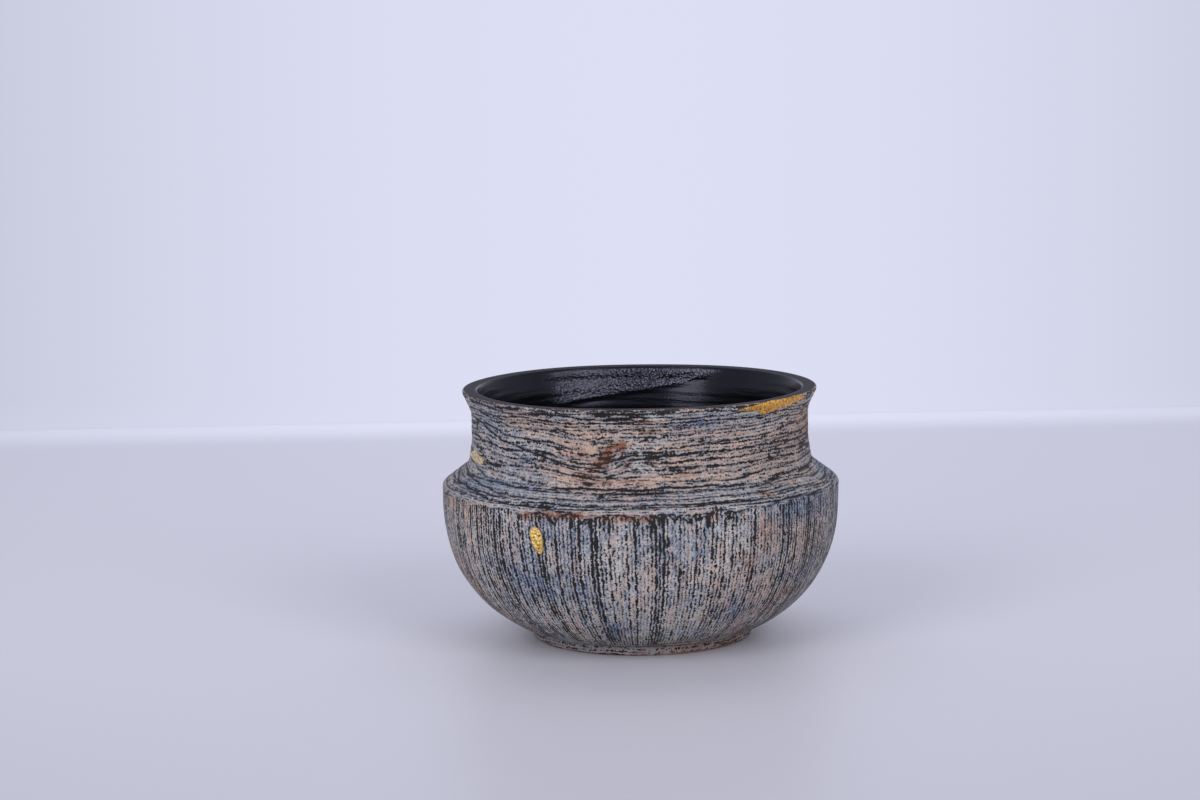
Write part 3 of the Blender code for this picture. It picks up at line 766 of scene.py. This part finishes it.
    # Slip: pale grey on the ridges and tan on some of them, blue-grey and thin in the valleys, pink in places
    hue = add(tree, "Math", {0: along, 1: 0.06}, operation="MULTIPLY")
    hue = add(tree, "CombineXYZ", {0: far_apart, 1: hue, 2: 9.0})
    hue = add(tree, "TexNoise", {"Vector": hue, "Scale": 1.0, "Detail": 1.0})
    tan = add(tree, "MapRange", {0: hue, 1: 0.47, 2: 0.6, 3: 0.0, 4: 0.8})
    cloud = add(tree, "TexNoise", {"Vector": place, "Scale": 0.11, "Detail": 3.0, "Roughness": 0.6})
    cloud = add(tree, "MapRange", {0: cloud, 1: 0.38, 2: 0.62})
    slip = add(tree, "MixRGB", {0: cloud, 1: linear("#d6ccbd"), 2: linear("#bdc0bf")})
    warm = add(tree, "MapRange", {0: wash, 1: 0.2, 2: 0.9, 3: 1.0, 4: 0.4})
    tinted = add(tree, "Math", {0: tan, 1: pink}, operation="ADD")
    warm = add(tree, "Math", {0: warm, 1: tinted}, operation="MULTIPLY", use_clamp=True)
    slip = add(tree, "MixRGB", {0: warm, 1: slip, 2: linear("#d3b49c")})
    # Beside each groove the slip is brighter: thicker slip on the comb's burr, and a painted highlight along
    # it
    burr_slip_and_highlight = add(tree, "MapRange", {0: inside, 1: -0.30, 2: -0.08, 3: 0.92, 4: 1.26})
    slip = add(tree, "VectorMath", {0: slip, 1: burr_slip_and_highlight}, operation="MULTIPLY")
    thin = add(tree, "MixRGB", {0: warm, 1: linear("#8a8f92"), 2: linear("#9a8574")})
    slip = add(tree, "MixRGB", {0: wash, 1: slip, 2: thin})
    cool = add(tree, "Math", {0: blue, 1: 0.34}, operation="ADD")
    part = add(tree, "Math", {0: wash, 1: 0.6, 2: 0.3}, operation="MULTIPLY_ADD")
    cool = add(tree, "Math", {0: part, 1: cool}, operation="MULTIPLY", use_clamp=True)
    slip = add(tree, "MixRGB", {0: cool, 1: slip, 2: linear("#5d6d84")})
    fleck = add(tree, "TexNoise", {"Vector": place, "Scale": 1.7, "Detail": 1.0})
    fleck = add(tree, "MapRange", {0: fleck, 1: 0.3, 2: 0.7, 3: 0.86, 4: 1.16})
    slip = add(tree, "VectorMath", {0: slip, 1: fleck}, operation="MULTIPLY")
    # Painted shade on the flanks and thinner slip towards the foot both turn the slip a dull brown-grey
    less = add(tree, "Math", {0: thin_slip_and_flank_shade, 1: 0.45}, operation="MULTIPLY", use_clamp=True)
    slip = add(tree, "MixRGB", {0: less, 1: slip, 2: linear("#857d73")})
    iron = add(tree, "MapRange", {0: breaks, 1: 0.36, 2: 0.6, 3: 0.4, 4: 1.2})
    iron = add(tree, "Math", {0: iron, 1: rust}, operation="MULTIPLY", use_clamp=True)
    slip = add(tree, "MixRGB", {0: iron, 1: slip, 2: linear("#875a42")})
    brown = add(tree, "MapRange", {0: cloud, 1: 0.3, 2: 1.0, 3: 0.0, 4: 0.6})
    dark = add(tree, "MixRGB", {0: brown, 1: linear("#171514"), 2: linear("#251c17")})
    iron_dark = add(tree, "Math", {0: iron, 1: 0.4}, operation="MULTIPLY")
    dark = add(tree, "MixRGB", {0: iron_dark, 1: dark, 2: linear("#4a2a1b")})
    colour = add(tree, "MixRGB", {0: clay, 1: slip, 2: dark})

    rough = add(tree, "MapRange", {0: clay, 3: 0.82, 4: 0.62})
    low = add(tree, "MapRange", {0: depth, 1: -0.4, 2: 0.5, 3: 1.0, 4: 0.0})
    bump = add(tree, "Bump", {"Height": low, "Strength": 0.7, "Distance": 0.00035})
    shader = add(
        tree, "BsdfPrincipled",
        {"Base Color": colour, "Roughness": rough, "Normal": bump, "IOR": 1.5, "Specular IOR Level": 0.3},
    )
    add(tree, "OutputMaterial", {"Surface": shader})
    return material


def black_satin_glaze():
    """Iron-black glaze, poured in and fired.

    It is smooth where it ran, pimpled where it was wiped, and dry and thin on the lip.
    To the eye: nearly black, with soft bluish highlights that break up on the pimples at the back.
    """
    material, tree, place = start_material("black_satin_glaze")
    pimpled = add(tree, "Attribute", attribute_name="pimpled").outputs["Fac"]
    thin_glaze = add(tree, "Attribute", attribute_name="thin_glaze").outputs["Fac"]
    pimples = add(tree, "TexNoise", {"Vector": place, "Scale": 1.3, "Detail": 1.0, "Roughness": 0.5})
    wiped = add(tree, "VectorMath", {0: place, 1: (0.12, 0.12, 0.9)}, operation="MULTIPLY")
    wiped = add(tree, "TexNoise", {"Vector": wiped, "Scale": 1.0, "Detail": 1.0})
    height = add(tree, "Math", {0: pimples, 1: pimpled}, operation="MULTIPLY")
    height = add(tree, "Math", {0: wiped, 1: 0.2, 2: height}, operation="MULTIPLY_ADD")
    bump = add(tree, "Bump", {"Height": height, "Strength": 1.0, "Distance": 0.00034})
    rough = add(tree, "MapRange", {0: pimpled, 3: 0.25, 4: 0.11})
    rough = add(tree, "MixRGB", {0: thin_glaze, 1: rough, 2: (0.62, 0.62, 0.62, 1.0)})
    shine = add(tree, "MapRange", {0: pimpled, 1: 0.12, 2: 1.0, 3: 0.38, 4: 0.9})
    shine = add(tree, "MixRGB", {0: thin_glaze, 1: shine, 2: (0.2, 0.2, 0.2, 1.0)})
    tone = add(tree, "MixRGB", {0: thin_glaze, 1: linear("#0a0a0d"), 2: linear("#1c191c")})
    shader = add(
        tree, "BsdfPrincipled",
        {"Base Color": tone, "Roughness": rough, "Normal": bump, "IOR": 1.5,
         "Specular IOR Level": shine, "Specular Tint": linear("#dcdcf6")},
    )
    add(tree, "OutputMaterial", {"Surface": shader})
    return material


def bare_stoneware():
    """The unglazed clay under the foot: dark brown, dry and gritty, with grit of about 0.7 mm."""
    material, tree, place = start_material("bare_stoneware")
    grit = add(tree, "TexNoise", {"Vector": place, "Scale": 1.4, "Detail": 3.0, "Roughness": 0.65})
    cloud = add(tree, "TexNoise", {"Vector": place, "Scale": 0.09, "Detail": 2.0})
    share = add(tree, "MapRange", {0: grit, 1: 0.36, 2: 0.64})
    clay = add(tree, "MixRGB", {0: share, 1: linear("#2c211b"), 2: linear("#54402f")})
    share = add(tree, "MapRange", {0: cloud, 1: 0.35, 2: 0.65, 3: 0.0, 4: 0.6})
    clay = add(tree, "MixRGB", {0: share, 1: clay, 2: linear("#5b3a26")})
    bump = add(tree, "Bump", {"Height": grit, "Strength": 0.6, "Distance": 0.0004})
    shader = add(
        tree, "BsdfPrincipled", {"Base Color": clay, "Roughness": 0.88, "Normal": bump, "IOR": 1.5}
    )
    add(tree, "OutputMaterial", {"Surface": shader})
    return material


def gold_powder_on_lacquer(name, low, high):
    """Gold powder dusted on tacky lacquer and burnished: a soft metal with lumps and pinholes.

    To the eye: yellow gold with a satin sheen, low in its hollows and high on its lumps, and brown
    lacquer where powder is missing.
    """
    material, tree, place = start_material(name)
    grain = add(tree, "TexNoise", {"Vector": place, "Scale": 1.3, "Detail": 2.0, "Roughness": 0.6})
    lumps = add(tree, "TexNoise", {"Vector": place, "Scale": 0.6, "Detail": 1.0})
    tone = add(tree, "MapRange", {0: grain, 1: 0.38, 2: 0.62})
    gold = add(tree, "MixRGB", {0: tone, 1: linear(low), 2: linear(high)})
    missing = add(tree, "MapRange", {0: grain, 1: 0.385, 2: 0.335}, interpolation_type="SMOOTHSTEP")
    colour = add(tree, "MixRGB", {0: missing, 1: gold, 2: linear("#4c2f14")})
    metal = add(tree, "Math", {0: 1.0, 1: missing}, operation="SUBTRACT")
    rough = add(tree, "MapRange", {0: lumps, 1: 0.3, 2: 0.7, 3: 0.30, 4: 0.48})
    height = add(tree, "Math", {0: grain, 1: 0.8, 2: lumps}, operation="MULTIPLY_ADD")
    bump = add(tree, "Bump", {"Height": height, "Strength": 0.9, "Distance": 0.0007})
    shader = add(
        tree, "BsdfPrincipled", {"Base Color": colour, "Metallic": metal, "Roughness": rough, "Normal": bump}
    )
    add(tree, "OutputMaterial", {"Surface": shader})
    return material


def make_bowl():
    """The bowl's own skin, which stands for its solid."""
    points, groups, paint, values = bowl_shape()
    coats = [black_satin_glaze(), slip_over_combed_stoneware(), bare_stoneware()]
    bowl = make_piece("combed_bowl", points, groups, paint, coats)
    keep_values(bowl, **values)
    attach(bowl, "root")
    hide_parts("bowl")


def make_gold():
    """The three gold repairs, each lying in its chip."""
    for name, node, outline, seed, low, high in (
        ("rim_repair", "gold_fill_rim", RIM_GOLD, 301, "#bd7f2a", "#ffc867"),
        ("belly_repair", "gold_fill_belly", BELLY_GOLD, 302, "#d6a038", "#ffe494"),
        ("neck_repair", "gold_fill_neck", NECK_GOLD, 303, "#d2ae68", "#fff0c8"),
    ):
        gold = gold_powder_on_lacquer(name + "_gold", low, high)
        points, groups = gold_shape(outline, seed)
        piece = make_piece(name, points, groups, np.zeros(len(groups), int), [gold])
        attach(piece, "root")
        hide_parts(node)


def make_stage():
    """A pale satin table with painted light, darker at its front, whose far end melts into a glowing
    backdrop, brightest in the middle.

    One strip of two faces, flat and then upright. Both are clear from behind and from below.
    """
    y, z = np.array([[-1.6, 0.0], [0.66, 0.0], [0.66, 2.2]]).T
    points = np.stack([np.tile([-2.4, 2.4], len(y)), np.repeat(y, 2), np.repeat(z, 2)], axis=1)
    faces = 2 * np.arange(len(y) - 1)[:, None] + np.array([[0, 1, 3, 2]])
    mesh = bpy.data.meshes.new("table_and_backdrop")
    mesh.from_pydata(points.tolist(), [], faces.tolist())
    stage = bpy.data.objects.new("table_and_backdrop", mesh)
    bpy.context.collection.objects.link(stage)
    material, tree, place = start_material("pale_satin_board")
    across = add(tree, "SeparateXYZ", {0: place}).outputs["X"]
    back = add(tree, "VectorMath", {0: place, 1: (-0.045, 1.0, 0.0)}, operation="DOT_PRODUCT")
    back = back.outputs["Value"]
    # Painted light: the table's colour is darker at the front and lighter towards the back
    near = add(tree, "MapRange", {0: back, 1: -400.0, 2: -20.0})
    colour = add(tree, "MixRGB", {0: near, 1: linear("#c6c6cc"), 2: linear("#d9d9df")})
    # The share of the backdrop's glow, and the share by which the table's own colour and shine are gone
    share = add(tree, "MapRange", {0: back, 1: 470.0, 2: 560.0}, interpolation_type="SMOOTHSTEP")
    unlit = add(tree, "MapRange", {0: share, 2: 0.97})
    colour = add(tree, "MixRGB", {0: unlit, 1: colour, 2: linear("#000000")})
    squared = add(tree, "Math", {0: across, 1: across}, operation="MULTIPLY")
    middle = add(tree, "Math", {0: squared, 1: -1.3e-6, 2: 1.0}, operation="MULTIPLY_ADD")
    middle = add(tree, "Math", {0: middle, 1: 0.6}, operation="MAXIMUM")
    glow = add(tree, "Math", {0: share, 1: middle}, operation="MULTIPLY")
    shine = add(tree, "MapRange", {0: unlit, 3: 0.5, 4: 0.0})
    shader = add(
        tree, "BsdfPrincipled",
        {"Base Color": colour, "Roughness": 0.42, "IOR": 1.45, "Specular IOR Level": shine,
         "Emission Color": linear("#dddff4"), "Emission Strength": glow},
    )
    behind = add(tree, "NewGeometry").outputs["Backfacing"]
    shader = add(tree, "MixShader", {0: behind, 1: shader, 2: add(tree, "BsdfTransparent")})
    add(tree, "OutputMaterial", {"Surface": shader})
    mesh.materials.append(material)


def make_light(name, azimuth, elevation, away, wide, tall, power, colour):
    """A soft box that faces the bowl, from an angle round from the front and a height angle."""
    lamp = bpy.data.lights.new(name, "AREA")
    lamp.shape = "RECTANGLE"
    lamp.size = wide
    lamp.size_y = tall
    lamp.energy = power
    lamp.color = linear(colour)[:3]
    light = bpy.data.objects.new(name, lamp)
    turn, tip = math.radians(azimuth), math.radians(elevation)
    out = away * math.cos(tip)
    light.location = (out * math.sin(turn), -out * math.cos(turn), 0.05 + away * math.sin(tip))
    light.rotation_euler = (math.pi / 2 - tip, 0.0, turn)
    bpy.context.collection.objects.link(light)


def make_studio():
    """Two large soft boxes in front, one above the table's back, and pale lavender light from the room."""
    make_light("left_soft_box", -39, 27, 3.0, 1.5, 2.1, 35, "#fcfaff")
    make_light("right_soft_box", 39, 27, 3.0, 1.5, 2.1, 33, "#fcfaff")
    make_light("back_soft_box", 180, 62, 1.3, 1.2, 0.8, 4, "#f8f8ff")
    world = bpy.data.worlds.new("pale_room")
    world.use_nodes = True
    tree = world.node_tree
    up = add(tree, "TexCoord").outputs["Generated"]
    up = add(tree, "SeparateXYZ", {0: up}).outputs["Z"]
    fill = add(tree, "MapRange", {0: up, 3: 0.74, 4: 0.34})
    background = tree.nodes["Background"]
    background.inputs["Color"].default_value = linear("#e8eaff")
    tree.links.new(fill.outputs[0], background.inputs["Strength"])
    scene = bpy.context.scene
    scene.world = world
    scene.view_settings.view_transform = "Standard"
    scene.view_settings.look = "None"


def make_camera():
    """The camera, fitted to the bowl's outline: a metre in front, a little above, looking 8 degrees down."""
    turned = Matrix.Rotation(math.radians(-0.816), 3, "Z")
    tipped = Matrix.Rotation(math.radians(7.854), 3, "X")
    rolled = Matrix.Rotation(math.radians(-0.898), 3, "Y")
    facing = (rolled @ tipped @ turned).transposed() @ Matrix.Rotation(math.radians(90), 3, "X")
    focal_px, picture_px = 2783.8, 1200
    lens = bpy.data.cameras.new("camera")
    lens.sensor_width = 36.0
    lens.lens = focal_px / picture_px * lens.sensor_width
    camera = bpy.data.objects.new("camera", lens)
    camera.matrix_world = Matrix.Translation((0.0, -1.005, 0.2249)) @ facing.to_4x4()
    bpy.context.collection.objects.link(camera)
    bpy.context.scene.camera = camera


make_camera()
make_studio()
make_stage()
make_bowl()
make_gold()
